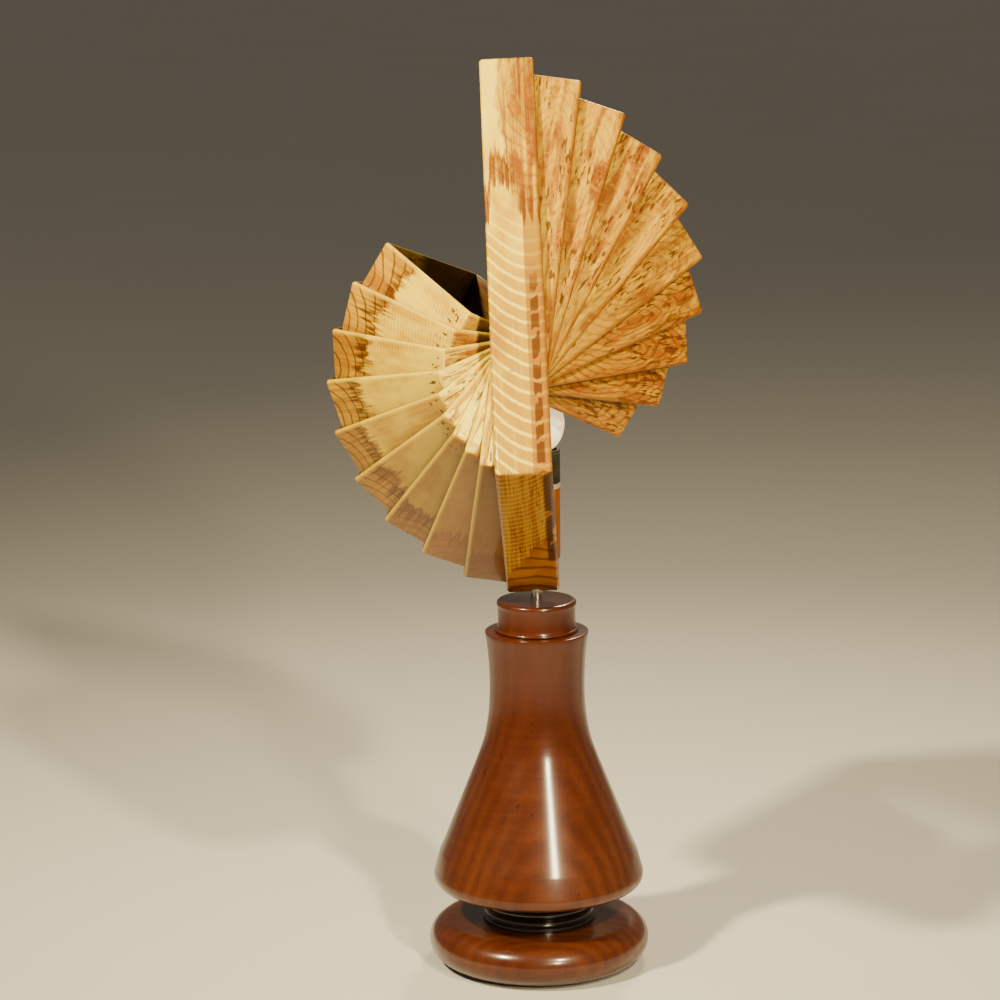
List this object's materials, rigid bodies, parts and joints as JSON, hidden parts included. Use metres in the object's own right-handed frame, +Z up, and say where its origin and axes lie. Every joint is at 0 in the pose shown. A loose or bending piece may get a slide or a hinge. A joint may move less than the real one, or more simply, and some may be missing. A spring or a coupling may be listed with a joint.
{
  "type": "wooden table lamp with a fan shade",
  "caption": "Table lamp with a turned wooden base, an upright pipe with lampholder and bulb, and a spiral shade of nested kite-shaped wooden frames that fan out about one cross pivot.",
  "frame": {"origin": "centre of the base's flat underside, on the lamp's upright axis", "axes": "+Z up along the lamp's upright axis; -Y towards the front, where the frames' front corners point; +X to the right seen from the front, the side the frames' long tips fan out to"},
  "size_m": [0.3197, 0.4306, 0.7899],
  "materials": {
    "felt": "matt",
    "mahogany": "semi-gloss varnish",
    "dark_wood": "gloss black stain",
    "honey_wood": "gloss lacquer",
    "riser_wood": "satin",
    "dowel_wood": "plain",
    "steel": "bright zinc",
    "brass": "plain",
    "cap_metal": "bright",
    "solder": "dull",
    "black_plastic": "matt",
    "skirt_plastic": "satin",
    "ring_plastic": "satin",
    "porcelain": "gloss",
    "bulb_white": "satin",
    "bulb_diffuser": "opal"
  },
  "bodies": {
    "lamp_stand": {"felt_pad": "felt", "foot_disc": "mahogany", "foot_washer": "steel", "foot_nut": "steel", "cord_inlet_bush": "black_plastic", "neck_spool": "dark_wood", "cone_body": "mahogany", "collar": "mahogany", "lamp_pipe": "steel", "seat_block": "honey_wood", "fan_washer": "steel", "fan_nut": "steel", "riser_nut": "steel", "riser_washer": "steel", "riser_tube": "riser_wood", "holder_ring": "ring_plastic", "holder_cap": "black_plastic", "holder_skirt": "skirt_plastic", "holder_insert": "porcelain", "screw_shell": "brass", "centre_contact": "brass", "frame_01": "honey_wood", "pivot_dowel_front": "dowel_wood", "pivot_dowel_back": "dowel_wood"},
    "blade_02": {"frame_02": "honey_wood"},
    "blade_03": {"frame_03": "honey_wood"},
    "blade_04": {"frame_04": "honey_wood"},
    "blade_05": {"frame_05": "honey_wood"},
    "blade_06": {"frame_06": "honey_wood"},
    "blade_07": {"frame_07": "honey_wood"},
    "blade_08": {"frame_08": "honey_wood"},
    "blade_09": {"frame_09": "honey_wood"},
    "blade_10": {"frame_10": "honey_wood"},
    "bulb_tip": {"bulb_contact": "solder"},
    "bulb": {"bulb_cap": "cap_metal", "bulb_housing": "bulb_white", "bulb_globe": "bulb_diffuser"}
  },
  "joints": [
    {"name": "blade_02_swing", "type": "hinge", "parent": "lamp_stand", "child": "blade_02", "pos_m": [-0.0166, 0, 0.5508], "axis": [0, 1, 0], "range_deg": [-1.6, 0]},
    {"name": "blade_03_swing", "type": "hinge", "parent": "lamp_stand", "child": "blade_03", "pos_m": [-0.0166, 0, 0.5508], "axis": [0, 1, 0], "range_deg": [-7, 0]},
    {"name": "blade_04_swing", "type": "hinge", "parent": "lamp_stand", "child": "blade_04", "pos_m": [-0.0166, 0, 0.5508], "axis": [0, 1, 0], "range_deg": [-18.1, 0]},
    {"name": "blade_05_swing", "type": "hinge", "parent": "lamp_stand", "child": "blade_05", "pos_m": [-0.0166, 0, 0.5508], "axis": [0, 1, 0], "range_deg": [-30, 0]},
    {"name": "blade_06_swing", "type": "hinge", "parent": "lamp_stand", "child": "blade_06", "pos_m": [-0.0166, 0, 0.5508], "axis": [0, 1, 0], "range_deg": [-42.7, 0]},
    {"name": "blade_07_swing", "type": "hinge", "parent": "lamp_stand", "child": "blade_07", "pos_m": [-0.0166, 0, 0.5508], "axis": [0, 1, 0], "range_deg": [-56.3, 0]},
    {"name": "blade_08_swing", "type": "hinge", "parent": "lamp_stand", "child": "blade_08", "pos_m": [-0.0166, 0, 0.5508], "axis": [0, 1, 0], "range_deg": [-70.7, 0]},
    {"name": "blade_09_swing", "type": "hinge", "parent": "lamp_stand", "child": "blade_09", "pos_m": [-0.0166, 0, 0.5508], "axis": [0, 1, 0], "range_deg": [-86, 0]},
    {"name": "fan_spread", "type": "hinge", "parent": "lamp_stand", "child": "blade_10", "pos_m": [-0.0166, 0, 0.5508], "axis": [0, 1, 0], "range_deg": [-102, 0]},
    {"name": "bulb_rise", "type": "slide", "parent": "lamp_stand", "child": "bulb_tip", "axis": [0, 0, 1], "range_m": [0, 0.0108]},
    {"name": "bulb_turn", "type": "hinge", "parent": "bulb_tip", "child": "bulb", "pos_m": [0, 0, 0.45], "axis": [0, 0, 1], "range_deg": [0, 1075]}
  ],
  "couplings": [
    {"joint": "blade_02_swing", "follows": "fan_spread", "ratio": 0.0147},
    {"joint": "blade_03_swing", "follows": "fan_spread", "ratio": 0.0672},
    {"joint": "blade_04_swing", "follows": "fan_spread", "ratio": 0.176},
    {"joint": "blade_05_swing", "follows": "fan_spread", "ratio": 0.2922},
    {"joint": "blade_06_swing", "follows": "fan_spread", "ratio": 0.4176},
    {"joint": "blade_07_swing", "follows": "fan_spread", "ratio": 0.5505},
    {"joint": "blade_08_swing", "follows": "fan_spread", "ratio": 0.6917},
    {"joint": "blade_09_swing", "follows": "fan_spread", "ratio": 0.8422},
    {"joint": "bulb_turn", "follows": "bulb_rise", "rad_per_m": 1731.4}
  ]
}
